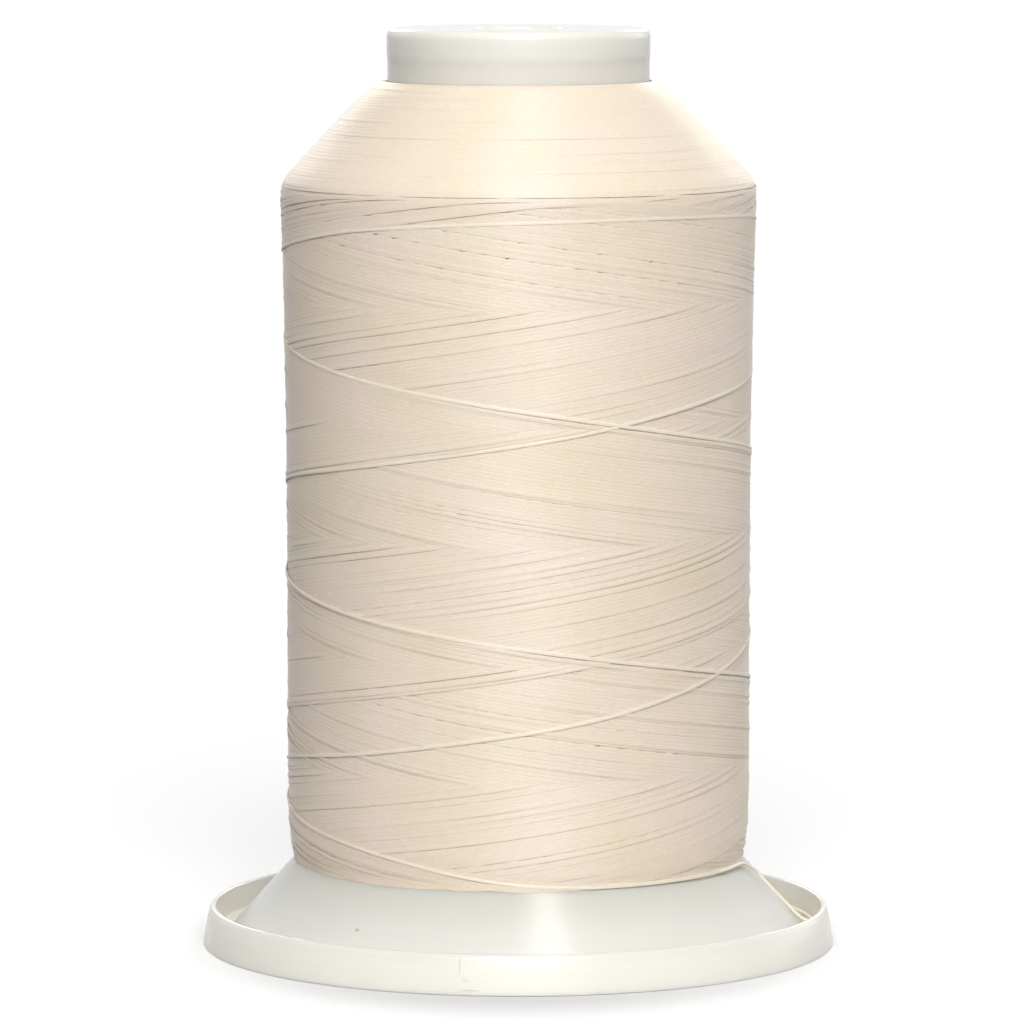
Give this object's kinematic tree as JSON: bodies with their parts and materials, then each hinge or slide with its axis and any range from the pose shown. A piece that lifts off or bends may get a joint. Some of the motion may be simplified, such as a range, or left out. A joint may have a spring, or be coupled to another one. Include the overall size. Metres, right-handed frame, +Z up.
{
  "type": "thread spool",
  "caption": "Footed spool of cross-wound cream thread, with a short neck, a flared skirt and a snap-fit foot ring whose gutter holds the thread's tucked end.",
  "frame": {"origin": "on the spool's axis, at the surface that it stands on", "axes": "+Z up along the spool's axis, towards the neck; the thread's free end lies at +X, and the viewer's side is -Y"},
  "size_m": [0.075, 0.075, 0.1085],
  "materials": {
    "ring_plastic": "moulded white polypropylene, satin gloss",
    "body_plastic": "moulded white polypropylene, satin gloss",
    "thread": "cream thread with a soft wax sheen"
  },
  "bodies": {
    "foot": {"foot_ring": "ring_plastic"},
    "spool": {"spool_body": "body_plastic", "thread_package": "thread", "outer_turns": "thread", "thread_tail": "thread"}
  },
  "joints": [
    {"name": "foot_snap", "type": "slide", "parent": "foot", "child": "spool", "axis": [0, 0, 1], "range_m": [0, 0.0028]}
  ]
}
